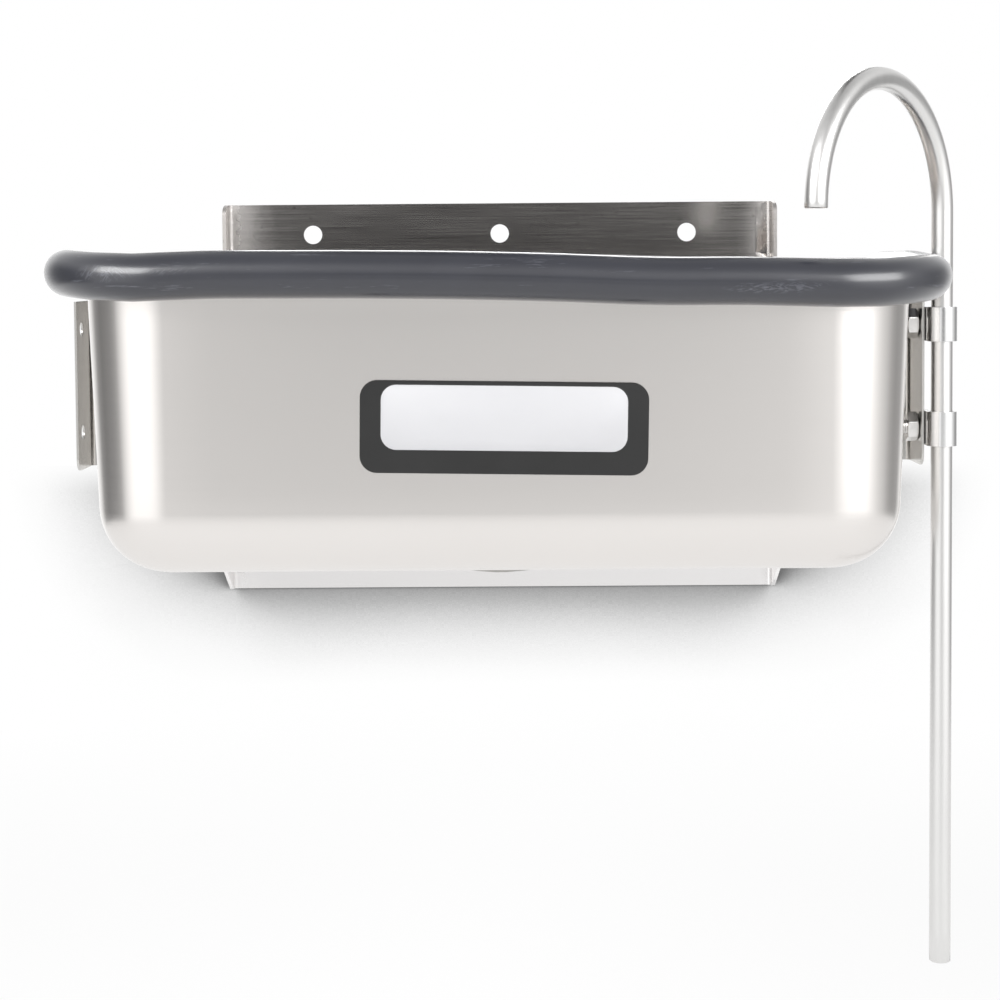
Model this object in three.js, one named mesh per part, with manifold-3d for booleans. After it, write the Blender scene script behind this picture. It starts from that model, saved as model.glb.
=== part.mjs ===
// A wall-mounted dipper well: a drawn steel rinse basin with a rubber bumper round its rim,
// a back plate that screws to the wall, and two side brackets. The right one carries
// a gooseneck water tube in two clamps. A drain with a lift-out overflow tube is in the floor.
// Millimetres, +Z up, front towards -Y, right towards +X. The origin is on the back plate's
// rear face, on the centre line, at the height of the basin's rim.
import * as THREE from "three";
import { mergeVertices } from "three/addons/utils/BufferGeometryUtils.js";
import Module from "manifold-3d";

const wasm = await Module();
wasm.setup();

// Gaps
const SEAT_GAP = 0.25; // between two faces that rest on each other
const RUNNING_GAP = 0.3; // round a shank or a tube, measured on the radius
const CUT_OVERRUN = 3; // how far a cutter runs past the faces that it cuts
const WELD_TOLERANCE = 1e-4; // vertices closer than this are one

// Basin, measured over the outside of its wall at the rim
const BASIN_WIDTH = 232;
const BASIN_DEPTH = 134;
const BASIN_HEIGHT = 83;
const BASIN_SHEET = 1;
const BASIN_CORNER_RADIUS = 25;
const BASIN_FLOOR_RADIUS = 19;
const BASIN_DRAFT = THREE.MathUtils.degToRad(2.2);
const RIM_FLANGE_WIDTH = 7;
const RIM_BEND_RADIUS = 2;

// Rubber bumper, pushed over the rim's flange
const BUMPER_RADIUS = 6.5;
const BUMPER_LAP = 1.4; // how far it reaches in over the wall

// Back plate, a channel that is open to the front
const PLATE_WIDTH = 188;
const PLATE_SHEET = 1.2;
const PLATE_BEND_RADIUS = 2.6;
const PLATE_SIDE_DEPTH = 20; // below the bumper
const PLATE_TOP_DEPTH = 9; // above it
const PLATE_RISE = 24.4; // above the rim
const PLATE_DROP = 107.8; // below the rim
const PLATE_SIDE_CORNER_RADIUS = 5;
const PLATE_SIDE_TOP_FALL = 3.4; // how far a side's top edge falls towards the front
const PLATE_SIDE_FOOT_RISE = 8.5; // how far its bottom edge rises towards the front
const PLATE_HOLE_DIAMETER = 6.35;
const PLATE_HOLE_PITCH = 64;
const PLATE_HOLE_RISE = 14;
const PLATE_HOLES = 3;
const PLATE_TO_BUMPER_GAP = 1.5;
const NOTCH_GAP = 0.4; // round the bumper where the sides let it through

// Gooseneck tube
const TUBE_DIAMETER = 6.35;
const TUBE_WALL = 0.9;
const TUBE_ARCH_RADIUS = 36.8;
const TUBE_ARCH_BASE = 17.6; // spout's end, above the rim
const TUBE_DROP = 206.8; // lower end, below the rim
const TUBE_FORWARD = 15.3; // ahead of the basin's middle
const TUBE_TO_BUMPER_GAP = 0.4;
const TUBE_REST_TURN = THREE.MathUtils.degToRad(231.4); // spout's heading, from +X

// Tube clamps: a strap round the tube with both ends flat on the bracket
const CLAMP_STRAP = 1;
const CLAMP_WIDTH = 10.2;
const CLAMP_SCREW_OFFSET = 8.8; // screw to tube, centre to centre
const CLAMP_TAB_END = 5; // past the screw's centre
const CLAMP_TAB_SLIT = 0.25;
const CLAMP_TOP_DROP = 15.3; // upper clamp's middle, below the rim
const CLAMP_PITCH = 31;

// Side brackets
const BRACKET_SHEET = 0.75;
const BRACKET_BEND_RADIUS = 1.9;
const BRACKET_WIDTH = 20.2;
const BRACKET_HOLE_EDGE = 6.8; // hole's middle to the front edge
const BRACKET_HOLE_DIAMETER = 4.6;
const BRACKET_TOP_DROP = 6.8;
const BRACKET_HEIGHT = 50.8;
const BRACKET_CORNER_RADIUS = 3.5;
const BRACKET_FOOT_LENGTH = 12;

// Clamp screws, lock washers and nuts
const SCREW_DIAMETER = 4.1;
const SCREW_HEAD_DIAMETER = 7.6;
const SCREW_HEAD_HEIGHT = 2.4;
const SCREW_END_CHAMFER = 0.4;
const SCREW_END_SHOWING = 1.6; // past the nut
const RECESS_WIDTH = 1;
const RECESS_LENGTH = 4;
const RECESS_DEPTH = 1.1;
const LOCK_WASHER_DIAMETER = 7.4;
const LOCK_WASHER_THICKNESS = 0.7;
const LOCK_WASHER_SPLIT = 0.7;
const NUT_ACROSS_FLATS = 7.94;
const NUT_THICKNESS = 3.2;
const NUT_CHAMFER = 0.5;
const NUT_TURNS = [5, 10].map(THREE.MathUtils.degToRad);

// Label on the front wall
const LABEL_WIDTH = 78.7;
const LABEL_HEIGHT = 25.4;
const LABEL_THICKNESS = 0.5;
const LABEL_CORNER_RADIUS = 4.7;
const LABEL_DROP = 41.2; // its middle, below the rim
const LABEL_SHIFT = 1.5; // its middle, right of the centre line
const LABEL_TILT_DEGREES = 1; // it's stuck on a little askew, lower on the right

// Drain fitting in the basin's floor
const DRAIN_THREAD_DIAMETER = 26;
const DRAIN_BORE = 20;
const DRAIN_MOUTH = 24.8;
const DRAIN_SEAT_DEPTH = 5;
const DRAIN_FLANGE_DIAMETER = 38;
const DRAIN_FLANGE_THICKNESS = 1.6;
const DRAIN_FLANGE_CHAMFER = 0.7;
const DRAIN_HOLE_DIAMETER = 27;
const DRAIN_GASKET_THICKNESS = 1;
const DRAIN_GASKET_SETBACK = 0.8; // inside the flange's edge
const DRAIN_WASHER_DIAMETER = 35;
const DRAIN_WASHER_THICKNESS = 1.1;
const LOCKNUT_ACROSS_FLATS = 31.75;
const LOCKNUT_THICKNESS = 3.5;
const LOCKNUT_TURN = THREE.MathUtils.degToRad(30);
const LOCKNUT_CHAMFER = 1;
const DRAIN_END_SHOWING = 0.6; // below the locknut

// Lift-out overflow tube with its seal and strainer cap
const OVERFLOW_DIAMETER = 19.05;
const OVERFLOW_WALL = 0.9;
const OVERFLOW_DROP = 30; // water level, below the rim
const OVERFLOW_ENTRY = 8; // below the drain's mouth
const SEAL_RIM_HEIGHT = 1.6;
const SEAL_RIM_WIDTH = 1.4; // past the drain's mouth, on the radius
const CAP_WALL = 0.8;
const CAP_SKIRT = 6; // below the tube's top
const CAP_RISE = 10; // above the tube's top
const CAP_SHOULDER = 1;
const CAP_WINDOWS = 8;
const CAP_WINDOW_WIDTH = 3.6;
const CAP_WINDOW_HEIGHT = 6;
const CAP_HOLES = 6;
const CAP_HOLE_DIAMETER = 3.2;
const CAP_HOLE_CIRCLE_SHARE = 0.62; // of the cap's inner radius

// Flats that stand for a curve
const CORNER_STEPS = 8;
const FLOOR_STEPS = 6;
const BEND_STEPS = 6;
const BUMPER_STEPS = 20;
const ARC_STEPS = 6;
const TUBE_STEPS = 46;
const TUBE_SIDES = 16;
const BORE_SIDES = 10;
const ROUND_SIDES = 32;
const SMALL_SIDES = 20;

// Places that follow from the sizes
const BUMPER_CENTRE_OUT = BUMPER_RADIUS - BUMPER_LAP; // out from the wall at the rim
const BUMPER_OVERHANG = BUMPER_CENTRE_OUT + BUMPER_RADIUS;
const BASIN_REAR_Y = -(PLATE_SHEET + PLATE_TO_BUMPER_GAP + BUMPER_OVERHANG);
const BASIN_CENTRE_Y = BASIN_REAR_Y - BASIN_DEPTH / 2;
const TUBE_RADIUS = TUBE_DIAMETER / 2;
const TUBE_X = BASIN_WIDTH / 2 + BUMPER_OVERHANG + TUBE_TO_BUMPER_GAP + TUBE_RADIUS;
const TUBE_Y = BASIN_CENTRE_Y - TUBE_FORWARD;
const CLAMP_INNER_RADIUS = TUBE_RADIUS + RUNNING_GAP;
const CLAMP_OUTER_RADIUS = CLAMP_INNER_RADIUS + CLAMP_STRAP;
const CLAMP_TAB_THICKNESS = 2 * CLAMP_STRAP + CLAMP_TAB_SLIT;
const CLAMP_HEIGHTS = [-CLAMP_TOP_DROP, -CLAMP_TOP_DROP - CLAMP_PITCH];
const BRACKET_FACE_X = TUBE_X - CLAMP_OUTER_RADIUS - SEAT_GAP;
const SCREW_Y = TUBE_Y + CLAMP_SCREW_OFFSET;
const BRACKET_FRONT_Y = SCREW_Y - BRACKET_HOLE_EDGE;
const BRACKET_BACK_Y = BRACKET_FRONT_Y + BRACKET_WIDTH;
const FLOOR_TOP_Z = -BASIN_HEIGHT + BASIN_SHEET;
const DRAIN_FLANGE_UNDER_Z = FLOOR_TOP_Z + DRAIN_GASKET_THICKNESS + 2 * SEAT_GAP;
const DRAIN_MOUTH_Z = DRAIN_FLANGE_UNDER_Z + DRAIN_FLANGE_THICKNESS;
const DRAIN_WASHER_TOP_Z = -BASIN_HEIGHT - SEAT_GAP;
const LOCKNUT_TOP_Z = DRAIN_WASHER_TOP_Z - DRAIN_WASHER_THICKNESS - SEAT_GAP;
const DRAIN_END_Z = LOCKNUT_TOP_Z - LOCKNUT_THICKNESS - DRAIN_END_SHOWING;

const UNIT_X = new THREE.Vector3(1, 0, 0);
const UNIT_Y = new THREE.Vector3(0, 1, 0);
const UNIT_Z = new THREE.Vector3(0, 0, 1);
const FACING = {
  x: new THREE.Matrix4().makeBasis(UNIT_Y, UNIT_Z, UNIT_X), // outline in Y and Z
  y: new THREE.Matrix4().makeBasis(UNIT_X, UNIT_Z, UNIT_Y.clone().negate()), // in X and Z
  z: new THREE.Matrix4(), // in X and Y
};

// A geometry as a solid that can be joined and cut.
function solid(geometry) {
  const bare = geometry.clone();
  bare.deleteAttribute("normal");
  bare.deleteAttribute("uv");
  const merged = mergeVertices(bare, WELD_TOLERANCE);
  const corners = merged.index.array;
  const triVerts = [];
  for (let i = 0; i < corners.length; i += 3) {
    const [a, b, c] = corners.slice(i, i + 3);
    if (a !== b && b !== c && c !== a) triVerts.push(a, b, c);
  }
  const vertProperties = merged.attributes.position.array;
  const mesh = new wasm.Mesh({ numProp: 3, vertProperties, triVerts: new Uint32Array(triVerts) });
  return new wasm.Manifold(mesh);
}

// A named mesh of a solid.
function piece(name, body, color, roughness, metalness) {
  const { vertProperties, triVerts } = body.getMesh();
  const shared = new THREE.BufferGeometry();
  shared.setAttribute("position", new THREE.BufferAttribute(vertProperties, 3));
  shared.setIndex(new THREE.BufferAttribute(triVerts, 1));
  const geometry = shared.toNonIndexed();
  geometry.computeVertexNormals();
  const material = new THREE.MeshStandardMaterial({ color, roughness, metalness });
  const mesh = new THREE.Mesh(geometry, material);
  mesh.name = name;
  return mesh;
}

// Points on an arc, both ends included.
function arc(x, y, radius, start, end, steps) {
  return Array.from({ length: steps + 1 }, (_, i) => {
    const angle = start + ((end - start) * i) / steps;
    return [x + radius * Math.cos(angle), y + radius * Math.sin(angle)];
  });
}

function shape(points) {
  return new THREE.Shape(points.map(([x, y]) => new THREE.Vector2(x, y)));
}

// A rectangle whose corners have their own radii: low left, low right, high right, high left.
function rectangle(left, right, low, high, radii = [0, 0, 0, 0]) {
  const corners = [
    [left + radii[0], low + radii[0], Math.PI],
    [right - radii[1], low + radii[1], 1.5 * Math.PI],
    [right - radii[2], high - radii[2], 0],
    [left + radii[3], high - radii[3], 0.5 * Math.PI],
  ];
  const points = corners.flatMap(([x, y, start], i) =>
    radii[i] > 0 ? arc(x, y, radii[i], start, start + Math.PI / 2, ARC_STEPS) : [[x, y]],
  );
  return shape(points);
}

// An outline carried along an axis, from low to high.
function prism(outline, axis, low, high) {
  const options = { depth: high - low, bevelEnabled: false };
  const geometry = new THREE.ExtrudeGeometry(outline, options).applyMatrix4(FACING[axis]);
  const start = { x: [low, 0, 0], y: [0, high, 0], z: [0, 0, low] }[axis];
  return solid(geometry.translate(...start));
}

// A profile of radius and height, turned about Z. It closes on itself or on the axis.
function turned(profile, sides = ROUND_SIDES) {
  const closed = profile[0][0] > 0 ? [...profile, profile[0]] : profile;
  const points = closed.map(([radius, height]) => new THREE.Vector2(radius, height));
  return solid(new THREE.LatheGeometry(points, sides).rotateX(Math.PI / 2));
}

function rod(diameter, low, high, sides = ROUND_SIDES) {
  const radius = diameter / 2;
  return turned([[0, low], [radius, low], [radius, high], [0, high]], sides);
}

function washer(diameter, bore, low, high, sides = ROUND_SIDES) {
  const [outer, inner] = [diameter / 2, bore / 2];
  return turned([[inner, low], [outer, low], [outer, high], [inner, high]], sides);
}

// A hexagon nut with its corners chamfered at both ends.
function hexNut(acrossFlats, bore, low, high, chamfer, sides) {
  const corner = acrossFlats / Math.sqrt(3);
  const hexagon = shape(arc(0, 0, corner, 0, (5 / 3) * Math.PI, 5));
  const round = turned(
    [
      [0, low],
      [corner - chamfer, low],
      [corner, low + chamfer / 2],
      [corner, high - chamfer / 2],
      [corner - chamfer, high],
      [0, high],
    ],
    sides,
  );
  const hole = rod(bore, low - CUT_OVERRUN, high + CUT_OVERRUN, sides);
  return prism(hexagon, "z", low, high).intersect(round).subtract(hole);
}

// A round hole through sheet, along X or Y.
function crossHole(diameter, axis, u, v, low, high) {
  const circle = shape(arc(u, v, diameter / 2, 0, 2 * Math.PI * (1 - 1 / SMALL_SIDES), SMALL_SIDES - 1));
  return prism(circle, axis, low, high);
}

// The basin's plan at one height: a rounded rectangle, in from the wall at the rim.
function planRing([inset, z]) {
  const radius = BASIN_CORNER_RADIUS - inset;
  const x = BASIN_WIDTH / 2 - BASIN_CORNER_RADIUS;
  const y = BASIN_DEPTH / 2 - BASIN_CORNER_RADIUS;
  const corners = [[x, y], [-x, y], [-x, -y], [x, -y]];
  return corners.flatMap(([cx, cy], quarter) => {
    const start = (quarter * Math.PI) / 2;
    const points = arc(cx, BASIN_CENTRE_Y + cy, radius, start, start + Math.PI / 2, CORNER_STEPS);
    return points.map(([px, py]) => [px, py, z]);
  });
}

// A skin through rings with equally many points, each seen anticlockwise from above.
// Open rows of rings end in flat caps, and closed ones join last to first.
function loft(rings, closed) {
  const size = rings[0].length;
  const positions = rings.flat(2);
  const index = [];
  const last = closed ? rings.length : rings.length - 1;
  for (let i = 0; i < last; i += 1) {
    const below = i * size;
    const above = ((i + 1) % rings.length) * size;
    for (let j = 0; j < size; j += 1) {
      const next = (j + 1) % size;
      index.push(below + j, below + next, above + next);
      index.push(below + j, above + next, above + j);
    }
  }
  if (!closed) {
    const top = (rings.length - 1) * size;
    for (let j = 1; j < size - 1; j += 1) {
      index.push(0, j + 1, j);
      index.push(top, top + j, top + j + 1);
    }
  }
  const geometry = new THREE.BufferGeometry();
  geometry.setAttribute("position", new THREE.Float32BufferAttribute(positions, 3));
  geometry.setIndex(index);
  return solid(geometry);
}

// How far in the wall's outer face is at a height.
function wallInset(z) {
  return -z * Math.tan(BASIN_DRAFT);
}

// The curve from floor to wall, a distance inside the outer face, as insets and heights.
function floorCurve(inside) {
  const z = -BASIN_HEIGHT + BASIN_FLOOR_RADIUS;
  const touch = z - BASIN_FLOOR_RADIUS * Math.sin(BASIN_DRAFT);
  const inset = wallInset(touch) + BASIN_FLOOR_RADIUS * Math.cos(BASIN_DRAFT);
  const radius = BASIN_FLOOR_RADIUS - inside;
  return arc(inset, z, radius, -Math.PI / 2, -Math.PI + BASIN_DRAFT, FLOOR_STEPS);
}

// The curve from wall to rim flange.
function rimCurve(inside) {
  const z = -BASIN_SHEET / 2 - RIM_BEND_RADIUS;
  const touch = z + RIM_BEND_RADIUS * Math.sin(BASIN_DRAFT);
  const inset = wallInset(touch) - RIM_BEND_RADIUS * Math.cos(BASIN_DRAFT);
  return arc(inset, z, RIM_BEND_RADIUS + inside, BASIN_DRAFT, Math.PI / 2, BEND_STEPS);
}

// One face of the basin's sheet, from the floor up to the flange's edge.
function sheetFace(inside) {
  const edge = [-RIM_FLANGE_WIDTH, -BASIN_SHEET / 2 + inside];
  return [...floorCurve(inside), ...rimCurve(inside), edge];
}

// The space that the basin fills, with a margin. Its neighbours are cut to fit it.
function basinSpace(margin) {
  const top = [wallInset(CUT_OVERRUN) - margin / Math.cos(BASIN_DRAFT), CUT_OVERRUN];
  return loft([...floorCurve(-margin), top].map(planRing), false);
}

function basin() {
  const faces = [...sheetFace(0), ...sheetFace(BASIN_SHEET).reverse()];
  const hole = rod(DRAIN_HOLE_DIAMETER, -BASIN_HEIGHT - CUT_OVERRUN, FLOOR_TOP_Z + CUT_OVERRUN);
  return loft(faces.map(planRing), false).subtract(hole.translate([0, BASIN_CENTRE_Y, 0]));
}

// A round section that grips the flange in a slot and is cut back to clear the wall below it.
function rimBumper() {
  const slot = BASIN_SHEET / 2 + SEAT_GAP;
  const from = Math.PI - Math.asin(slot / BUMPER_RADIUS);
  const to = -Math.acos((SEAT_GAP - BUMPER_CENTRE_OUT) / BUMPER_RADIUS);
  const outer = arc(BUMPER_CENTRE_OUT, 0, BUMPER_RADIUS, to, from, BUMPER_STEPS);
  const underBend = BASIN_SHEET / 2 + RIM_BEND_RADIUS + SEAT_GAP;
  const section = [
    ...outer,
    [RIM_FLANGE_WIDTH + SEAT_GAP, slot],
    [RIM_FLANGE_WIDTH + SEAT_GAP, -slot],
    [RIM_BEND_RADIUS + SEAT_GAP, -slot],
    [SEAT_GAP, -underBend],
  ];
  return loft(section.map(([out, z]) => planRing([-out, z])), true);
}

// The back plate's section from above, a channel with round bends.
function channelOutline() {
  const half = PLATE_WIDTH / 2;
  const bend = PLATE_BEND_RADIUS;
  const inner = bend - PLATE_SHEET;
  const quarter = Math.PI / 2;
  return shape([
    [-half, -PLATE_SIDE_DEPTH],
    ...arc(-half + bend, -bend, bend, 2 * quarter, quarter, BEND_STEPS),
    ...arc(half - bend, -bend, bend, quarter, 0, BEND_STEPS),
    [half, -PLATE_SIDE_DEPTH],
    [half - PLATE_SHEET, -PLATE_SIDE_DEPTH],
    ...arc(half - bend, -bend, inner, 0, quarter, BEND_STEPS),
    ...arc(-half + bend, -bend, inner, quarter, 2 * quarter, BEND_STEPS),
    [-half + PLATE_SHEET, -PLATE_SIDE_DEPTH],
  ]);
}

// The back plate seen from the side. Its sides are shallow above the bumper, where they
// round off to the front, and deep below it, where they slope in at the foot.
function plateSideOutline() {
  const corner = PLATE_SIDE_CORNER_RADIUS;
  const y = -PLATE_SIDE_DEPTH + corner;
  const run = PLATE_SIDE_DEPTH - PLATE_BEND_RADIUS - corner;
  const footTilt = Math.atan(PLATE_SIDE_FOOT_RISE / run);
  const foot = -PLATE_DROP + PLATE_SIDE_FOOT_RISE + corner * Math.cos(footTilt);
  const topCorner = arc(0, 0, 1, Math.PI / 2, Math.PI, ARC_STEPS).map(([ahead, up]) => [
    PLATE_TOP_DEPTH * ahead,
    PLATE_RISE - PLATE_SIDE_TOP_FALL + PLATE_SIDE_TOP_FALL * up,
  ]);
  return shape([
    [0, -PLATE_DROP],
    ...topCorner,
    [-PLATE_TOP_DEPTH, 0],
    [-PLATE_SIDE_DEPTH, 0],
    ...arc(y, foot, corner, Math.PI, 1.5 * Math.PI - footTilt, ARC_STEPS),
    [-PLATE_BEND_RADIUS, -PLATE_DROP],
  ]);
}

function backPlate() {
  const half = PLATE_WIDTH / 2;
  const notchHalf = BUMPER_RADIUS + NOTCH_GAP;
  const notch = rectangle(-PLATE_SIDE_DEPTH - CUT_OVERRUN, -PLATE_SHEET, -notchHalf, notchHalf);
  const reach = half + CUT_OVERRUN;
  let plate = prism(channelOutline(), "z", -PLATE_DROP, PLATE_RISE)
    .intersect(prism(plateSideOutline(), "x", -half, half))
    .subtract(prism(notch, "x", -reach, reach))
    .subtract(basinSpace(SEAT_GAP));
  for (let i = 0; i < PLATE_HOLES; i += 1) {
    const x = (i - (PLATE_HOLES - 1) / 2) * PLATE_HOLE_PITCH;
    const [low, high] = [-PLATE_SHEET - CUT_OVERRUN, CUT_OVERRUN];
    plate = plate.subtract(crossHole(PLATE_HOLE_DIAMETER, "y", x, PLATE_HOLE_RISE, low, high));
  }
  return plate;
}

// The bracket's section from above: a flange along the basin's side and a web towards it.
function bracketOutline() {
  const bend = BRACKET_BEND_RADIUS;
  const inner = bend - BRACKET_SHEET;
  const [x, y] = [BRACKET_FACE_X - bend, BRACKET_BACK_Y - bend];
  const inside = BASIN_WIDTH / 2 - BASIN_FLOOR_RADIUS;
  return shape([
    [BRACKET_FACE_X, BRACKET_FRONT_Y],
    ...arc(x, y, bend, 0, Math.PI / 2, BEND_STEPS),
    [inside, BRACKET_BACK_Y],
    [inside, BRACKET_BACK_Y - BRACKET_SHEET],
    ...arc(x, y, inner, Math.PI / 2, 0, BEND_STEPS),
    [BRACKET_FACE_X - BRACKET_SHEET, BRACKET_FRONT_Y],
  ]);
}

// Right side bracket: flange, web and a foot that lies flat on the leaning wall.
function sideBracket() {
  const top = -BRACKET_TOP_DROP;
  const bottom = top - BRACKET_HEIGHT;
  const round = BRACKET_CORNER_RADIUS;
  const inside = BASIN_WIDTH / 2 - BASIN_FLOOR_RADIUS;
  const footEnd = BRACKET_BACK_Y + BRACKET_FOOT_LENGTH;
  const side = rectangle(BRACKET_FRONT_Y, footEnd, bottom, top, [round, round, round, 0]);
  const foot = rectangle(inside, BRACKET_FACE_X, BRACKET_BACK_Y - BRACKET_SHEET, footEnd);
  let bracket = prism(foot, "z", bottom, top)
    .intersect(basinSpace(SEAT_GAP + BRACKET_SHEET))
    .add(prism(bracketOutline(), "z", bottom, top))
    .intersect(prism(side, "x", inside, BRACKET_FACE_X))
    .subtract(basinSpace(SEAT_GAP));
  for (const z of CLAMP_HEIGHTS) {
    const [low, high] = [BRACKET_FACE_X - BRACKET_SHEET - CUT_OVERRUN, BRACKET_FACE_X + CUT_OVERRUN];
    bracket = bracket.subtract(crossHole(BRACKET_HOLE_DIAMETER, "x", SCREW_Y, z, low, high));
  }
  return bracket;
}

// The label follows the front wall's lean.
function label() {
  const [halfWidth, halfHeight] = [LABEL_WIDTH / 2, LABEL_HEIGHT / 2];
  const radii = Array(4).fill(LABEL_CORNER_RADIUS);
  const face = rectangle(-halfWidth, halfWidth, -halfHeight, halfHeight, radii);
  const front = BASIN_REAR_Y - BASIN_DEPTH;
  return prism(face, "y", front - CUT_OVERRUN, front + BASIN_FLOOR_RADIUS)
    .rotate([0, LABEL_TILT_DEGREES, 0])
    .translate([LABEL_SHIFT, 0, -LABEL_DROP])
    .intersect(basinSpace(SEAT_GAP + LABEL_THICKNESS))
    .subtract(basinSpace(SEAT_GAP));
}

// A clamp's strap from above: flat on the bracket, round the tube and back over itself.
function strapOutline() {
  const x = BRACKET_FACE_X + SEAT_GAP;
  const tabEnd = SCREW_Y + CLAMP_TAB_END;
  const slitLow = CLAMP_STRAP;
  const slitHigh = CLAMP_STRAP + CLAMP_TAB_SLIT;
  const outerMeet = Math.PI - Math.acos((CLAMP_OUTER_RADIUS - CLAMP_TAB_THICKNESS) / CLAMP_OUTER_RADIUS);
  const innerMeet = Math.PI - Math.acos((CLAMP_OUTER_RADIUS - slitHigh) / CLAMP_INNER_RADIUS);
  return shape([
    [x, tabEnd],
    ...arc(TUBE_X, TUBE_Y, CLAMP_OUTER_RADIUS, -Math.PI, outerMeet, ROUND_SIDES),
    [x + CLAMP_TAB_THICKNESS, tabEnd],
    [x + slitHigh, tabEnd],
    ...arc(TUBE_X, TUBE_Y, CLAMP_INNER_RADIUS, innerMeet, -Math.PI, ROUND_SIDES),
    [x + slitLow, tabEnd],
  ]);
}

function tubeClamp(z) {
  const half = CLAMP_WIDTH / 2;
  const tabEnd = SCREW_Y + CLAMP_TAB_END;
  const front = TUBE_Y - CLAMP_OUTER_RADIUS - CUT_OVERRUN;
  const round = Math.min(half, CLAMP_TAB_END);
  const side = rectangle(front, tabEnd, z - half, z + half, [0, round, round, 0]);
  const [low, high] = [BRACKET_FACE_X, TUBE_X + CLAMP_OUTER_RADIUS + CUT_OVERRUN];
  const hole = crossHole(BRACKET_HOLE_DIAMETER, "x", SCREW_Y, z, low, high);
  return prism(strapOutline(), "z", z - half, z + half).intersect(prism(side, "x", low, high)).subtract(hole);
}

// A pan-head screw along Z. Height 0 is under its head.
function clampScrew(length) {
  const radius = SCREW_DIAMETER / 2;
  const headRadius = SCREW_HEAD_DIAMETER / 2;
  const edge = SCREW_HEAD_HEIGHT / 2;
  const crown = arc(0, 0, 1, 0, Math.PI / 2, ARC_STEPS).map(([across, up]) => [
    headRadius * across,
    edge + (SCREW_HEAD_HEIGHT - edge) * up,
  ]);
  crown[crown.length - 1][0] = 0;
  const body = turned(
    [
      [0, -length],
      [radius - SCREW_END_CHAMFER, -length],
      [radius, -length + SCREW_END_CHAMFER],
      [radius, 0],
      [headRadius, 0],
      ...crown,
    ],
    SMALL_SIDES,
  );
  const [longHalf, wideHalf] = [RECESS_LENGTH / 2, RECESS_WIDTH / 2];
  const [low, high] = [SCREW_HEAD_HEIGHT - RECESS_DEPTH, SCREW_HEAD_HEIGHT + CUT_OVERRUN];
  const across = prism(rectangle(-longHalf, longHalf, -wideHalf, wideHalf), "z", low, high);
  const along = prism(rectangle(-wideHalf, wideHalf, -longHalf, longHalf), "z", low, high);
  return body.subtract(across.add(along));
}

// A spring lock washer, split on one side.
function lockWasher(bore, low, high) {
  const half = LOCK_WASHER_SPLIT / 2;
  const split = rectangle(0, LOCK_WASHER_DIAMETER, -half, half);
  const cut = prism(split, "z", low - CUT_OVERRUN, high + CUT_OVERRUN);
  return washer(LOCK_WASHER_DIAMETER, bore, low, high, SMALL_SIDES).subtract(cut);
}

// One clamp with its screw, lock washer and nut. The group's Z is the screw's axis, outwards.
function clampSet(name, z, nutTurn) {
  const steel = [0xc9c9c6, 0.28, 1];
  const bore = SCREW_DIAMETER + 2 * RUNNING_GAP;
  const nutTop = -BRACKET_SHEET - SEAT_GAP;
  const nutLow = nutTop - NUT_THICKNESS;
  const washerLow = SEAT_GAP + CLAMP_TAB_THICKNESS + SEAT_GAP;
  const washerTop = washerLow + LOCK_WASHER_THICKNESS;
  const headUnder = washerTop + SEAT_GAP;
  const screw = piece(name + "_clamp_screw", clampScrew(headUnder - nutLow + SCREW_END_SHOWING), ...steel);
  screw.position.z = headUnder;
  const ring = lockWasher(bore, washerLow, washerTop);
  const nutBody = hexNut(NUT_ACROSS_FLATS, bore, nutLow, nutTop, NUT_CHAMFER, SMALL_SIDES);
  const nut = piece(name + "_clamp_nut", nutBody, ...steel);
  nut.rotation.z = nutTurn;
  const stack = new THREE.Group();
  stack.add(screw, piece(name + "_clamp_lock_washer", ring, 0x8d8d8a, 0.35, 1), nut);
  stack.position.set(BRACKET_FACE_X, SCREW_Y, z);
  stack.rotation.y = Math.PI / 2;
  const set = new THREE.Group();
  set.add(piece(name + "_tube_clamp", tubeClamp(z), 0xe4e4e4, 0.18, 1), stack);
  return set;
}

// The tube's centre line: straight up, then half a turn over towards +X.
class GooseneckPath extends THREE.Curve {
  getPoint(t, target = new THREE.Vector3()) {
    const rise = TUBE_DROP + TUBE_ARCH_BASE;
    const along = t * (rise + Math.PI * TUBE_ARCH_RADIUS);
    if (along <= rise) return target.set(0, 0, along - TUBE_DROP);
    const angle = (along - rise) / TUBE_ARCH_RADIUS;
    const x = TUBE_ARCH_RADIUS * (1 - Math.cos(angle));
    return target.set(x, 0, TUBE_ARCH_BASE + TUBE_ARCH_RADIUS * Math.sin(angle));
  }
}

function gooseneck() {
  const section = circle(TUBE_RADIUS, TUBE_SIDES);
  section.holes.push(circle(TUBE_RADIUS - TUBE_WALL, BORE_SIDES));
  const options = { steps: TUBE_STEPS, extrudePath: new GooseneckPath(), bevelEnabled: false };
  const tube = solid(new THREE.ExtrudeGeometry(section, options));
  const mesh = piece("gooseneck_tube", tube, 0xdcdcda, 0.3, 1);
  mesh.rotation.z = TUBE_REST_TURN;
  mesh.position.set(TUBE_X, TUBE_Y, 0);
  return mesh;
}

function circle(radius, sides) {
  return shape(arc(0, 0, radius, 0, 2 * Math.PI * (1 - 1 / sides), sides - 1));
}

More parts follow.
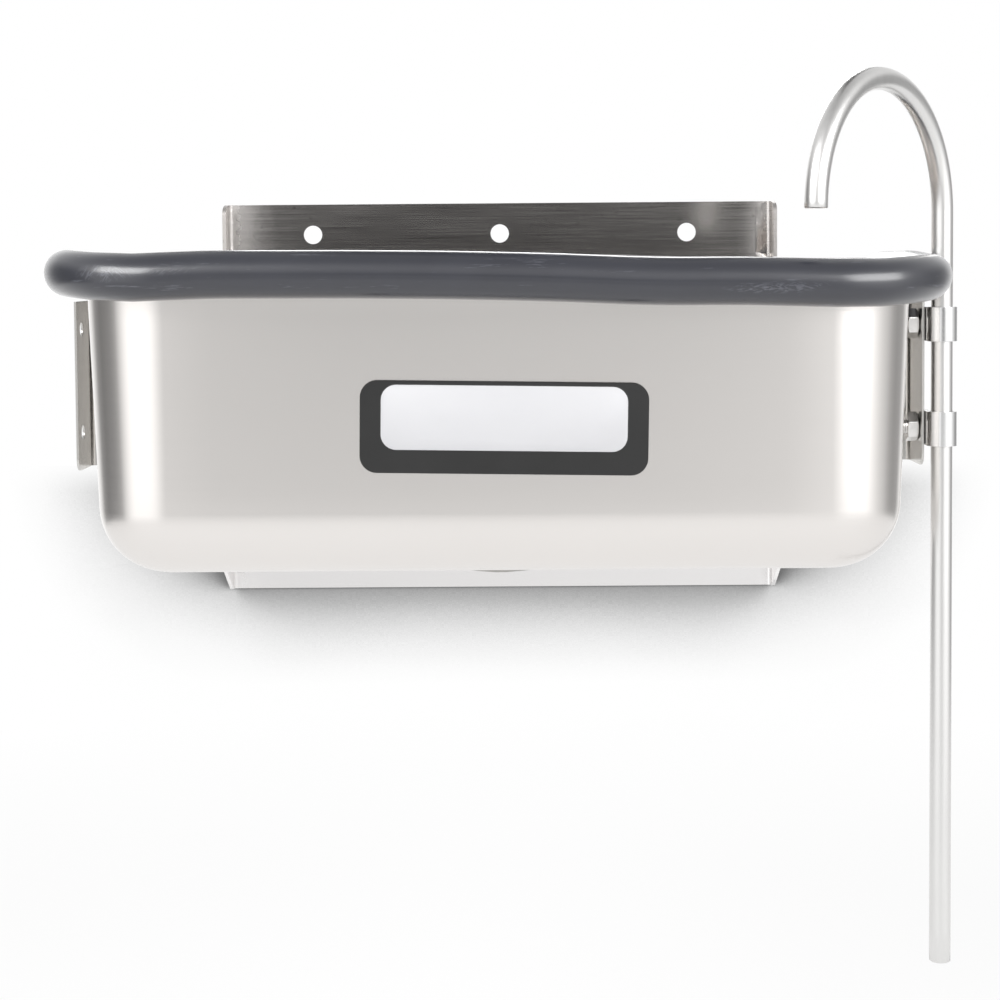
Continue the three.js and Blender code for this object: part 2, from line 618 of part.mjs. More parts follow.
// The drain's body: a flange in the basin, a threaded neck through its floor and a seat.
function drainBody() {
  const bore = DRAIN_BORE / 2;
  const neck = DRAIN_THREAD_DIAMETER / 2;
  const flange = DRAIN_FLANGE_DIAMETER / 2;
  return turned([
    [bore, DRAIN_END_Z],
    [neck, DRAIN_END_Z],
    [neck, DRAIN_FLANGE_UNDER_Z],
    [flange, DRAIN_FLANGE_UNDER_Z],
    [flange, DRAIN_MOUTH_Z - DRAIN_FLANGE_CHAMFER],
    [flange - DRAIN_FLANGE_CHAMFER, DRAIN_MOUTH_Z],
    [DRAIN_MOUTH / 2, DRAIN_MOUTH_Z],
    [bore, DRAIN_MOUTH_Z - DRAIN_SEAT_DEPTH],
  ]);
}

function drain() {
  const clearNeck = DRAIN_THREAD_DIAMETER + 2 * RUNNING_GAP;
  const gasketLow = FLOOR_TOP_Z + SEAT_GAP;
  const gasketHigh = gasketLow + DRAIN_GASKET_THICKNESS;
  const gasketDiameter = DRAIN_FLANGE_DIAMETER - 2 * DRAIN_GASKET_SETBACK;
  const gasket = washer(gasketDiameter, clearNeck, gasketLow, gasketHigh);
  const washerLow = DRAIN_WASHER_TOP_Z - DRAIN_WASHER_THICKNESS;
  const fibre = washer(DRAIN_WASHER_DIAMETER, clearNeck, washerLow, DRAIN_WASHER_TOP_Z);
  const nutLow = LOCKNUT_TOP_Z - LOCKNUT_THICKNESS;
  const nutSolid = hexNut(
    LOCKNUT_ACROSS_FLATS,
    clearNeck,
    nutLow,
    LOCKNUT_TOP_Z,
    LOCKNUT_CHAMFER,
    ROUND_SIDES,
  );
  const nut = piece("drain_locknut", nutSolid, 0x9c9a94, 0.4, 1);
  nut.rotation.z = LOCKNUT_TURN;
  const group = new THREE.Group();
  group.add(
    piece("drain_body", drainBody(), 0xb9b8b4, 0.3, 1),
    piece("drain_gasket", gasket, 0x2a2b2d, 0.8, 0),
    piece("drain_fibre_washer", fibre, 0x6b4a32, 0.85, 0),
    nut,
  );
  group.position.y = BASIN_CENTRE_Y;
  return group;
}

// A rubber ring round the overflow tube's foot, tapered to the drain's seat.
function overflowSeal() {
  const inner = OVERFLOW_DIAMETER / 2 + RUNNING_GAP;
  const mouth = DRAIN_MOUTH / 2;
  const taper = (mouth - DRAIN_BORE / 2) / DRAIN_SEAT_DEPTH;
  const mouthInside = mouth - SEAT_GAP * Math.hypot(1, taper);
  const tipWall = (mouthInside - inner) / 4;
  const tipZ = DRAIN_MOUTH_Z - (mouthInside - inner - tipWall) / taper;
  const rimLow = DRAIN_MOUTH_Z + SEAT_GAP;
  return turned([
    [inner, tipZ],
    [inner + tipWall, tipZ],
    [mouthInside + taper * SEAT_GAP, rimLow],
    [mouth + SEAL_RIM_WIDTH, rimLow],
    [mouth + SEAL_RIM_WIDTH, rimLow + SEAL_RIM_HEIGHT / 2],
    [mouth, rimLow + SEAL_RIM_HEIGHT],
    [inner, rimLow + SEAL_RIM_HEIGHT],
  ]);
}

// The strainer cap: a skirt round the tube, windows above the water level and a pierced top.
function strainerCap() {
  const rim = -OVERFLOW_DROP;
  const skirtInner = OVERFLOW_DIAMETER / 2 + RUNNING_GAP;
  const outer = skirtInner + CAP_WALL;
  const inner = outer - CAP_WALL - CAP_SHOULDER;
  const top = rim + CAP_RISE;
  const shell = turned([
    [skirtInner, rim - CAP_SKIRT],
    [outer, rim - CAP_SKIRT],
    [outer, top - CAP_WALL / 2],
    [outer - CAP_WALL / 2, top],
    [0, top],
    [0, top - CAP_WALL],
    [inner, top - CAP_WALL],
    [inner, rim + SEAT_GAP],
    [skirtInner, rim + SEAT_GAP],
    [skirtInner, rim - CAP_SKIRT],
  ]);
  const windowLow = rim + (CAP_RISE - CAP_WINDOW_HEIGHT) / 2;
  const window = rectangle(0, outer + CUT_OVERRUN, -CAP_WINDOW_WIDTH / 2, CAP_WINDOW_WIDTH / 2);
  const opening = prism(window, "z", windowLow, windowLow + CAP_WINDOW_HEIGHT);
  const drill = rod(CAP_HOLE_DIAMETER, top - CAP_WALL - CUT_OVERRUN, top + CUT_OVERRUN, SMALL_SIDES);
  let cap = shell.subtract(drill);
  for (let i = 0; i < CAP_WINDOWS; i += 1) {
    cap = cap.subtract(opening.rotate([0, 0, (360 * i) / CAP_WINDOWS]));
  }
  for (let i = 0; i < CAP_HOLES; i += 1) {
    const offCentre = drill.translate([CAP_HOLE_CIRCLE_SHARE * inner, 0, 0]);
    cap = cap.subtract(offCentre.rotate([0, 0, (360 * i) / CAP_HOLES]));
  }
  return cap;
}

function overflow() {
  const bore = OVERFLOW_DIAMETER - 2 * OVERFLOW_WALL;
  const tube = washer(OVERFLOW_DIAMETER, bore, DRAIN_MOUTH_Z - OVERFLOW_ENTRY, -OVERFLOW_DROP);
  const group = new THREE.Group();
  group.add(
    piece("overflow_tube", tube, 0xbdbcb8, 0.3, 1),
    piece("overflow_seal", overflowSeal(), 0x1f2022, 0.8, 0),
    piece("overflow_strainer_cap", strainerCap(), 0xc6c5c1, 0.3, 1),
  );
  group.position.y = BASIN_CENTRE_Y;
  return group;
}

function sideBrackets() {
  const steel = [0x9b9791, 0.4, 1];
  const right = piece("right_side_bracket", sideBracket(), ...steel);
  const left = piece("left_side_bracket", sideBracket(), ...steel);
  left.scale.x = -1;
  return [right, left];
}

const dipperWell = new THREE.Group();
dipperWell.add(
  piece("basin", basin(), 0xc9c5bf, 0.35, 1),
  piece("rim_bumper", rimBumper(), 0x4a4c54, 0.55, 0),
  piece("back_plate", backPlate(), 0x77726c, 0.4, 1),
  piece("label_plate", label(), 0x1c1c1c, 0.4, 0),
  ...sideBrackets(),
  clampSet("upper", CLAMP_HEIGHTS[0], NUT_TURNS[0]),
  clampSet("lower", CLAMP_HEIGHTS[1], NUT_TURNS[1]),
  gooseneck(),
  drain(),
  overflow(),
);

export default dipperWell;
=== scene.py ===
"""A wall-mounted dipper well: basin, rim bumper, back plate, brackets, gooseneck and drain.

Metres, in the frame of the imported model: +Z up, front towards -Y, right towards +X. Sizes are
written in mm, and become metres where a mesh is made.
"""

import math

import bmesh
import bpy
from mathutils import Matrix, Vector


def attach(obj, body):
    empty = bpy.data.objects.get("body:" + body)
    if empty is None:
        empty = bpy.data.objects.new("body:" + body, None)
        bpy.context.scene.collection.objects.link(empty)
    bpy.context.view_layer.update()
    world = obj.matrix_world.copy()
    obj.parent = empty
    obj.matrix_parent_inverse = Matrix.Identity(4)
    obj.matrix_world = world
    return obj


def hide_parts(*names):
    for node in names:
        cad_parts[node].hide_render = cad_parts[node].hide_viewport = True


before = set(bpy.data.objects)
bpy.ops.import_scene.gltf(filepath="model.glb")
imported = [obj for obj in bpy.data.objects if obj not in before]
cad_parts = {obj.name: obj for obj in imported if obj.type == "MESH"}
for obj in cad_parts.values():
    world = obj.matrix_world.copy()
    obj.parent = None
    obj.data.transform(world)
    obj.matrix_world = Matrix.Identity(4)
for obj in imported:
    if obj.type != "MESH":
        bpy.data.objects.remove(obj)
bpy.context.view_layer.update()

MM = 0.001
FULL_TURN = 2 * math.pi

# ---------------------------------------------------------------- sizes, as in the CAD, in mm
SEAT_GAP = 0.25
BASIN_WIDTH, BASIN_DEPTH, BASIN_HEIGHT, BASIN_SHEET = 232, 134, 83, 1
BASIN_CENTRE_Y = -81.3
BASIN_CORNER_RADIUS, BASIN_FLOOR_RADIUS = 25, 19
BASIN_DRAFT = math.radians(2.2)
RIM_FLANGE_WIDTH, RIM_BEND_RADIUS = 7, 2
DRAIN_HOLE_DIAMETER = 27
BUMPER_RADIUS, BUMPER_LAP = 6.5, 1.4
TUBE_DIAMETER, TUBE_BORE = 6.35, 4.55
TUBE_X, TUBE_Y = 131.175, -96.6
TUBE_ARCH_RADIUS, TUBE_ARCH_BASE, TUBE_DROP = 36.8, 17.6, 206.8
TUBE_TURN = math.radians(231.4)
LABEL_WIDTH, LABEL_HEIGHT, LABEL_THICKNESS, LABEL_CORNER = 78.7, 25.4, 0.5, 4.7
LABEL_DROP, LABEL_SHIFT, LABEL_TILT = 41.2, 1.5, math.radians(1)
PANEL_WIDTH, PANEL_HEIGHT, PANEL_CORNER, PANEL_RISE = 67.2, 17.8, 4.2, 2.64
PLATE_FLAT_END, PLATE_SHEET, PLATE_BEND_RADIUS = 91.4, 1.2, 2.6
NOTCH_TOP = 6.9
BRACKET_FACE_X, SCREW_Y = 126.45, -87.8
SCREW_HEIGHTS = {"upper": -15.3, "lower": -46.3}

# ---------------------------------------------------------------- what only the scene has, in mm
TUBE_END_EASE = 0.25
LABEL_EDGE_EASE = 0.15
PANEL_BORDER = 0.5
PANEL_NARROWS, PANEL_CORNER_NARROWS, PANEL_THICKNESS = 0.15, 0.07, 0.06
PLATE_EASE, PLATE_EASE_RUN, PLATE_EASE_RISE = math.radians(1.5), 10, 6.5
PLATE_FRONT = (-1.4, -0.9)  # the front face's y, with room on both sides of it
NOTCH_DROP = 1.5

# How far the bumper's front and rear are off level, by x. The front's share comes in along y
# from a start over a run, sooner on the left than on the right, and the rear's behind the middle.
BUMPER_SAG = [(-130, 1.9), (-120, 1.7), (-110, 0.9), (-98, 0.42), (-88, 0.75), (-76, 1.08),
              (-40, 0.86), (-15, 0.5), (0, 0.1), (16, -0.4), (25, -0.83), (33, -1.2), (41, -1.5),
              (49, -1.64), (65, -1.66), (81, -2.1), (90, -2.4), (104, -2.4), (116, -1.5),
              (130, -0.5)]
REAR_SAG = [(-130, 0.0), (40, 0.0), (70, -1.3), (95, -1.7), (130, -1.8)]
LEFT_SAG_START, LEFT_SAG_RUN = -60, 69
RIGHT_SAG_START, RIGHT_SAG_RUN = -97, 32
REAR_SAG_START, REAR_SAG_RUN = 22, 20

# ---------------------------------------------------------------- how finely curves are cut
CORNER_STEPS, BASIN_SIDE_STEPS, BUMPER_SIDE_STEPS = 20, 14, 30
FLOOR_STEPS, WALL_STEPS, RIM_STEPS = 16, 8, 6
FLOOR_SHARES = (0.35, 0.7, 0.92, 1.0)
BUMPER_STEPS = 44
TUBE_SIDES, TUBE_DROP_STEPS, TUBE_ARCH_STEPS = 40, 24, 72
LABEL_STEPS = 10
RINGS_PER_PITCH, THREAD_RUN_OUT = 8, 0.7


# ---------------------------------------------------------------- node helpers
class Nodes:
    """A short way to write a node tree."""

    def __init__(self, tree):
        self.tree = tree
        tree.nodes.clear()

    def put(self, socket, value):
        if isinstance(value, bpy.types.NodeSocket):
            self.tree.links.new(value, socket)
        else:
            socket.default_value = value

    def add(self, kind, inputs=None, **settings):
        node = self.tree.nodes.new(kind)
        for key, value in settings.items():
            setattr(node, key, value)
        for key, value in (inputs or {}).items():
            self.put(node.inputs[key], value)
        return node

    def math(self, operation, *values, clamp=False):
        node = self.add("ShaderNodeMath", operation=operation, use_clamp=clamp)
        for i, value in enumerate(values):
            self.put(node.inputs[i], value)
        return node.outputs[0]

    def ramp(self, factor, stops):
        node = self.add("ShaderNodeValToRGB", {"Fac": factor})
        elements = node.color_ramp.elements
        while len(elements) < len(stops):
            elements.new(0.5)
        for element, (position, level) in zip(elements, stops):
            element.position = position
            element.color = (level, level, level, 1)
        return node.outputs["Color"]

    def noise(self, vector, scale, detail, roughness):
        inputs = {"Vector": vector, "Scale": scale, "Detail": detail, "Roughness": roughness}
        return self.add("ShaderNodeTexNoise", inputs).outputs["Fac"]

    def stretched(self, vector, scale):
        inputs = {"Vector": vector, "Scale": scale}
        return self.add("ShaderNodeMapping", inputs).outputs["Vector"]

    def mix(self, factor, a, b):
        node = self.add("ShaderNodeMix", {0: factor}, data_type="RGBA")
        for key, value in ((6, a), (7, b)):
            self.put(node.inputs[key], (*value, 1) if isinstance(value, tuple) else value)
        return node.outputs[2]

    def blend(self, a, share_a, b, share_b):
        """Two heights or shades, each in its share."""
        return self.math("ADD", self.math("MULTIPLY", a, share_a),
                         self.math("MULTIPLY", b, share_b))

    def around(self, level, spread, factor):
        """A roughness that strays about its level by the spread."""
        return self.math("ADD", self.math("MULTIPLY", factor, spread), level - spread / 2)


def material(name):
    """A new material, its nodes, and the place on the object, in metres."""
    made = bpy.data.materials.new(name)
    made.use_nodes = True
    n = Nodes(made.node_tree)
    return made, n, n.add("ShaderNodeTexCoord").outputs["Object"]


def surface(n, height, strength, distance, inputs):
    """The bump, shader and output that each of the object's materials ends in."""
    bump = n.add("ShaderNodeBump", {"Height": height, "Strength": strength, "Distance": distance})
    shader = n.add("ShaderNodeBsdfPrincipled", {**inputs, "Normal": bump.outputs["Normal"]})
    n.add("ShaderNodeOutputMaterial", {"Surface": shader.outputs[0]})


def toned(tint, share, lift=0.0):
    """The tint, made darker or lighter."""
    return tuple(min(1, c * share + lift) for c in tint)


# ---------------------------------------------------------------- materials
END_SHADE_SPAN, END_SHADE_SPREAD = 250, 0.03
FOOT_SPAN, FOOT_TOP, FOOT_LOW = 100, 60, 85
SPECK_SHARE = 0.74
HATCH_GRAIN = (450, 100, 1900)
COAT_ROUGHNESS = 0.21


def brushed(name, tint, roughness, grain, anisotropic, wear, waves, grain_depth,
            specks=0.0, matt_and_shaded_ends=(), painted_foot_light=None):
    """Steel with a grain: fine lines along the direction where the grain's scale is small.

    The end table gives, at each x in mm, how much rougher the steel is and how much painted shade
    darkens it by the bends; a tint given for low down is a lighter colour there, painted light for
    a bright reflection.
    """
    made, n, at = material(name)
    lines = n.noise(n.stretched(at, grain), 1.0, 3.0, 0.6)
    cloud = n.noise(at, 35.0, 3.0, 0.55)
    shade = n.blend(lines, 0.6, cloud, 0.4)
    colour = n.mix(shade, toned(tint, 1 - wear), toned(tint, 1 + wear * 0.6))
    rough = n.around(roughness, 0.10, lines)
    if specks:
        dots = n.noise(at, 420.0, 1.0, 0.4)
        mark = n.math("MULTIPLY", n.math("GREATER_THAN", dots, SPECK_SHARE), specks)
        colour = n.mix(mark, colour, toned(tint, 0.4))
    # Painted shade: by the bends the end table darkens the colour, besides making the steel
    # rougher.
    if matt_and_shaded_ends:
        x = n.add("ShaderNodeSeparateXYZ", {0: at}).outputs[0]
        spread = n.around(0.5, END_SHADE_SPREAD, n.noise(at, 500.0, 4.0, 0.7))
        place = n.math("ADD", n.math("MULTIPLY", x, 1 / (END_SHADE_SPAN * MM)), spread)
        matt_and_shade = n.ramp(place, [(0.5 + x / END_SHADE_SPAN, amount) for x, amount in matt_and_shaded_ends])
        rough = n.math("ADD", rough, matt_and_shade)
        colour = n.mix(matt_and_shade, colour, toned(tint, 0.3))
    # Painted light: low down the colour turns to a lighter tint, standing in for a bright
    # reflection there.
    if painted_foot_light:
        z = n.add("ShaderNodeSeparateXYZ", {0: at}).outputs[2]
        depth = n.math("MULTIPLY", z, -1 / (FOOT_SPAN * MM))
        painted_low_light = n.ramp(depth, [(FOOT_TOP / FOOT_SPAN, 0.0), (FOOT_LOW / FOOT_SPAN, 1.0)])
        colour = n.mix(painted_low_light, colour, painted_foot_light)
    height = n.math("MULTIPLY", lines, grain_depth)
    if waves:
        swell = n.noise(at, 9.0, 1.0, 0.3)
        height = n.math("ADD", height, n.math("MULTIPLY", swell, waves))
    inputs = {"Base Color": colour, "Metallic": 1.0, "Roughness": rough,
              "Anisotropic": anisotropic, "Anisotropic Rotation": 0.25}
    if anisotropic:
        tangent = n.add("ShaderNodeTangent", direction_type="RADIAL", axis="Z")
        inputs["Tangent"] = tangent.outputs["Tangent"]
    surface(n, height, 1.0, MM, inputs)
    return made


def scratches(n, at, spot, half, tilt, strength):
    """A patch of slanting scratches round a spot, given with its half sizes in mm."""
    away = n.add("ShaderNodeMapping", {
        "Vector": at, "Location": tuple(-s / h for s, h in zip(spot, half)),
        "Scale": tuple(1 / (h * MM) for h in half)}).outputs[0]
    away = n.add("ShaderNodeVectorMath", {0: away}, operation="LENGTH").outputs["Value"]
    turned = n.add("ShaderNodeMapping", {"Vector": at, "Rotation": (0, tilt, 0)}).outputs[0]
    lines = n.noise(n.stretched(turned, HATCH_GRAIN), 1.0, 2.0, 0.5)
    lines = n.ramp(lines, [(0.52, 0.0), (0.60, 1.0)])
    near = n.ramp(away, [(0.4, 1.0), (1.0, 0.0)])
    return n.math("MULTIPLY", n.math("MULTIPLY", lines, near), strength)


def rubber(name, tint, roughness, scuffs, coat=0.0, level=0.5, marks=()):
    """Extruded rubber: a soft skin with a fine grain, a few pale scuffs and scratched spots."""
    made, n, at = material(name)
    cloud = n.noise(at, 45.0, 4.0, 0.6)
    grain = n.noise(at, 2600.0, 2.0, 0.5)
    drag = n.noise(n.stretched(at, (60, 60, 700)), 1.0, 4.0, 0.7)
    scuff = n.math("MULTIPLY", n.ramp(drag, [(0.62, 0.0), (0.72, 1.0)]), scuffs)
    for mark in marks:
        scuff = n.math("MAXIMUM", scuff, scratches(n, at, *mark))
    base = n.mix(cloud, toned(tint, 0.8), toned(tint, 1.2))
    surface(n, n.blend(grain, 0.006, cloud, 0.05), 1.0, MM, {
        "Base Color": n.mix(scuff, base, toned(tint, 3, 0.06)),
        "Roughness": n.around(roughness, 0.12, cloud), "Specular IOR Level": level,
        "Coat Weight": coat, "Coat Roughness": COAT_ROUGHNESS})
    return made


def film(name, tint, roughness, spots):
    """Printed label film."""
    made, n, at = material(name)
    cloud = n.noise(at, 60.0, 3.0, 0.5)
    peel = n.noise(at, 700.0, 2.0, 0.5)
    surface(n, peel, 0.15, 0.1 * MM, {
        "Base Color": n.mix(cloud, toned(tint, 1 - spots), toned(tint, 1 + spots)),
        "Roughness": n.around(roughness, 0.1, cloud)})
    return made


def fibre(name, tint):
    """Pressed fibre, flecked."""
    made, n, at = material(name)
    fleck = n.noise(n.stretched(at, (900, 900, 2500)), 1.0, 4.0, 0.7)
    surface(n, fleck, 0.5, 0.2 * MM, {
        "Base Color": n.mix(fleck, toned(tint, 0.55), toned(tint, 1.4)), "Roughness": 0.85})
    return made


BASIN_STEEL = brushed(
    "basin_steel", tint=(0.80, 0.773, 0.75), roughness=0.21, grain=(12, 12, 4200),
    anisotropic=0.7, wear=0.03, waves=0.02, grain_depth=0.002)
PLATE_STEEL = brushed(
    "plate_steel", tint=(0.70, 0.672, 0.65), roughness=0.13, grain=(30, 30, 2600),
    anisotropic=0.0, wear=0.12, waves=0.03, grain_depth=0.0015, specks=0.3,
    # The end table paints shade by the plate's bends and roughens the steel there.
    matt_and_shaded_ends=[(-92, 0.42), (-89.5, 0.12), (-82, 0.03), (-76, 0.0), (88, 0.0), (92, 0.16)],
    # A lighter tint low down: painted light for a bright reflection.
    painted_foot_light=(0.925, 0.91, 0.905))
BRACKET_STEEL = brushed(
    "bracket_steel", tint=(0.62, 0.61, 0.59), roughness=0.25, grain=(900, 900, 40),
    anisotropic=0.0, wear=0.08, waves=0.02, grain_depth=0.003)
CLAMP_STEEL = brushed(
    "clamp_steel", tint=(0.80, 0.80, 0.80), roughness=0.16, grain=(60, 60, 900),
    anisotropic=0.3, wear=0.08, waves=0.02, grain_depth=0.006)
FASTENER_STEEL = brushed(
    "fastener_steel", tint=(0.76, 0.75, 0.735), roughness=0.22, grain=(700, 700, 700),
    anisotropic=0.0, wear=0.1, waves=0.0, grain_depth=0.01)
WASHER_STEEL = brushed(
    "washer_steel", tint=(0.5, 0.5, 0.49), roughness=0.35, grain=(700, 700, 700),
    anisotropic=0.0, wear=0.1, waves=0.0, grain_depth=0.01)
TUBE_STEEL = brushed(
    "tube_steel", tint=(0.76, 0.755, 0.745), roughness=0.3, grain=(900, 900, 30),
    anisotropic=0.0, wear=0.06, waves=0.01, grain_depth=0.003)
DRAIN_STEEL = brushed(
    "drain_steel", tint=(0.68, 0.675, 0.66), roughness=0.25, grain=(60, 60, 1200),
    anisotropic=0.4, wear=0.1, waves=0.0, grain_depth=0.01)
LOCKNUT_STEEL = brushed(
    "locknut_steel", tint=(0.42, 0.41, 0.39), roughness=0.42, grain=(500, 500, 500),
    anisotropic=0.0, wear=0.2, waves=0.05, grain_depth=0.03)
BUMPER_RUBBER = rubber(
    "bumper_rubber", tint=(0.017, 0.0182, 0.026), roughness=0.36, scuffs=0.5, coat=1.0,
    level=0.45, marks=[
        ((-106, -152, 1.5), (8, 14, 3.0), math.radians(48), 0.5),
        ((-102, -152, 1.8), (8, 14, 2.6), math.radians(-40), 0.45),
        ((-88, -154, 2.2), (9, 12, 1.8), math.radians(30), 0.3),
        ((73, -159, -3.6), (14, 12, 1.6), math.radians(8), 0.55),
        ((78, -159, -3.2), (14, 12, 1.4), math.radians(-20), 0.4),
    ])
SEAL_RUBBER = rubber("seal_rubber", tint=(0.02, 0.02, 0.022), roughness=0.6, scuffs=0.2)
LABEL_DARK = film("label_dark", tint=(0.011, 0.011, 0.011), roughness=0.38, spots=0.2)
LABEL_LIGHT = film("label_light", tint=(0.53, 0.53, 0.545), roughness=0.42, spots=0.03)
FIBRE = fibre("fibre", tint=(0.36, 0.2, 0.12))


# ---------------------------------------------------------------- mesh helpers
def make(name, points, faces, materials, body, node, smooth):
    """A mesh object from points in mm, riding on a body, in place of a CAD node if one is named."""
    mesh = bpy.data.meshes.new(name)
    mesh.from_pydata([Vector(p) * MM for p in points], [], faces)
    return finish(name, mesh, materials, body, node, smooth)


def finish(name, mesh, materials, body, node, smooth):
    """Outward normals, smooth faces up to an angle in degrees, and the frame's marks."""
    shape = bmesh.new()
    shape.from_mesh(mesh)
    bmesh.ops.recalc_face_normals(shape, faces=shape.faces)
    shape.to_mesh(mesh)
    shape.free()
    for entry in materials:
        mesh.materials.append(entry)
    mesh.shade_smooth()
    mesh.set_sharp_from_angle(angle=math.radians(smooth))
    piece = bpy.data.objects.new(name, mesh)
    bpy.context.scene.collection.objects.link(piece)
    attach(piece, body)
    if node:
        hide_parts(node)
    return piece


WELD_DISTANCE, FLAT_ANGLE, CAD_SMOOTH = 1e-6, math.radians(0.2), 30


def from_cad(node, look, body, bevel, segments=2, reshape=None):
    """A copy of a CAD node with tidy flats, smooth curves and edges eased by the bevel in mm."""
    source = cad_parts[node]
    shape = bmesh.new()
    shape.from_mesh(source.data)
    bmesh.ops.remove_doubles(shape, verts=shape.verts, dist=WELD_DISTANCE)
    bmesh.ops.dissolve_limit(shape, angle_limit=FLAT_ANGLE, verts=shape.verts, edges=shape.edges)
    if reshape:
        reshape(shape)
    mesh = bpy.data.meshes.new(node + "_dressed")
    shape.to_mesh(mesh)
    shape.free()
    mesh.materials.clear()
    piece = finish(node + "_dressed", mesh, [look], body, node, CAD_SMOOTH)
    ease = piece.modifiers.new("ease", "BEVEL")
    ease.width = bevel * MM
    ease.segments = segments
    ease.limit_method = "ANGLE"
    ease.angle_limit = math.radians(CAD_SMOOTH)
    ease.use_clamp_overlap = True
    ease.harden_normals = True
    return piece


def arc(x, y, radius, start, end, steps):
    return [
        (x + radius * math.cos(start + (end - start) * i / steps),
         y + radius * math.sin(start + (end - start) * i / steps))
        for i in range(steps + 1)
    ]


def loft(rings, closed):
    """Quads through rings with equally many points."""
    size = len(rings[0])
    points = [p for ring in rings for p in ring]
    faces = []
    for i in range(len(rings) if closed else len(rings) - 1):
        low, high = i * size, (i + 1) % len(rings) * size
        for j in range(size):
            k = (j + 1) % size
            faces.append((low + j, low + k, high + k, high + j))
    return points, faces


def plan_ring(inset, z, side_steps):
    """A rounded rectangle, in from the wall at the rim, with points along its sides too."""
    radius = BASIN_CORNER_RADIUS - inset
    x = BASIN_WIDTH / 2 - BASIN_CORNER_RADIUS
    y = BASIN_DEPTH / 2 - BASIN_CORNER_RADIUS
    ring = []
    for quarter, (cx, cy) in enumerate(((x, y), (-x, y), (-x, -y), (x, -y))):
        start = quarter * math.pi / 2
        turn = start + math.pi / 2
        ring += arc(cx, BASIN_CENTRE_Y + cy, radius, start, turn, CORNER_STEPS)
        nx, ny = ((-x, y), (-x, -y), (x, -y), (x, y))[quarter]
        a = ring[-1]
        b = (nx + radius * math.cos(turn), BASIN_CENTRE_Y + ny + radius * math.sin(turn))
        for s in range(1, side_steps):
            t = s / side_steps
            ring.append((a[0] + (b[0] - a[0]) * t, a[1] + (b[1] - a[1]) * t))
    return [(px, py, z) for px, py in ring]


def along(table, x):
    """The table's value at x, in straight lines between its rows."""
    for (x0, s0), (x1, s1) in zip(table, table[1:]):
        if x <= x1:
            return s0 + (s1 - s0) * held((x - x0) / (x1 - x0))
    return table[-1][1]


def held(t):
    return max(0.0, min(1.0, t))


def smooth_step(t):
    t = held(t)
    return t * t * (3 - 2 * t)


# ---------------------------------------------------------------- basin
def wall_inset(z):
    return -z * math.tan(BASIN_DRAFT)


def sheet_face(inside):
    """One face of the sheet in section, from the floor to the flange's edge: inset and z."""
    z = -BASIN_HEIGHT + BASIN_FLOOR_RADIUS
    touch = z - BASIN_FLOOR_RADIUS * math.sin(BASIN_DRAFT)
    inset = wall_inset(touch) + BASIN_FLOOR_RADIUS * math.cos(BASIN_DRAFT)
    floor = arc(inset, z, BASIN_FLOOR_RADIUS - inside, -math.pi / 2, -math.pi + BASIN_DRAFT,
                FLOOR_STEPS)
    z = -BASIN_SHEET / 2 - RIM_BEND_RADIUS
    touch = z + RIM_BEND_RADIUS * math.sin(BASIN_DRAFT)
    inset = wall_inset(touch) - RIM_BEND_RADIUS * math.cos(BASIN_DRAFT)
    rim = arc(inset, z, RIM_BEND_RADIUS + inside, BASIN_DRAFT, math.pi / 2, RIM_STEPS)
    wall = []
    (x0, z0), (x1, z1) = floor[-1], rim[0]
    for i in range(1, WALL_STEPS):
        wall.append((x0 + (x1 - x0) * i / WALL_STEPS, z0 + (z1 - z0) * i / WALL_STEPS))
    return floor + wall + rim + [(-RIM_FLANGE_WIDTH, -BASIN_SHEET / 2 + inside)]


def basin():
    profile = sheet_face(0) + sheet_face(BASIN_SHEET)[::-1]
    rings = [plan_ring(inset, z, BASIN_SIDE_STEPS) for inset, z in profile]
    hole = DRAIN_HOLE_DIAMETER / 2

    def towards_hole(ring, z):
        def spot(p, t):
            angle = math.atan2(p[1] - BASIN_CENTRE_Y, p[0])
            hx, hy = hole * math.cos(angle), BASIN_CENTRE_Y + hole * math.sin(angle)
            return (p[0] + (hx - p[0]) * t, p[1] + (hy - p[1]) * t, z)
        return [[spot(p, t) for p in ring] for t in FLOOR_SHARES]

    low = towards_hole(rings[0], rings[0][0][2])[::-1]
    high = towards_hole(rings[-1], rings[-1][0][2])
    points, faces = loft(low + rings + high, True)
    return make("basin_dressed", points, faces, [BASIN_STEEL], "well", "basin", 40)


# ---------------------------------------------------------------- rim bumper
def bumper_sag(x, y, z):
    """The soft strip isn't quite level along the front: higher on the left, lower on the right.
    Behind, on the right, its top is pressed down a little."""
    if x < 0:
        front = smooth_step((LEFT_SAG_START - y) / LEFT_SAG_RUN)
    else:
        front = smooth_step((RIGHT_SAG_START - y) / RIGHT_SAG_RUN)
    rear = smooth_step((y - BASIN_CENTRE_Y - REAR_SAG_START) / REAR_SAG_RUN)
    rear *= (z / BUMPER_RADIUS + 1) / 2
    return front * along(BUMPER_SAG, x) + rear * along(REAR_SAG, x)


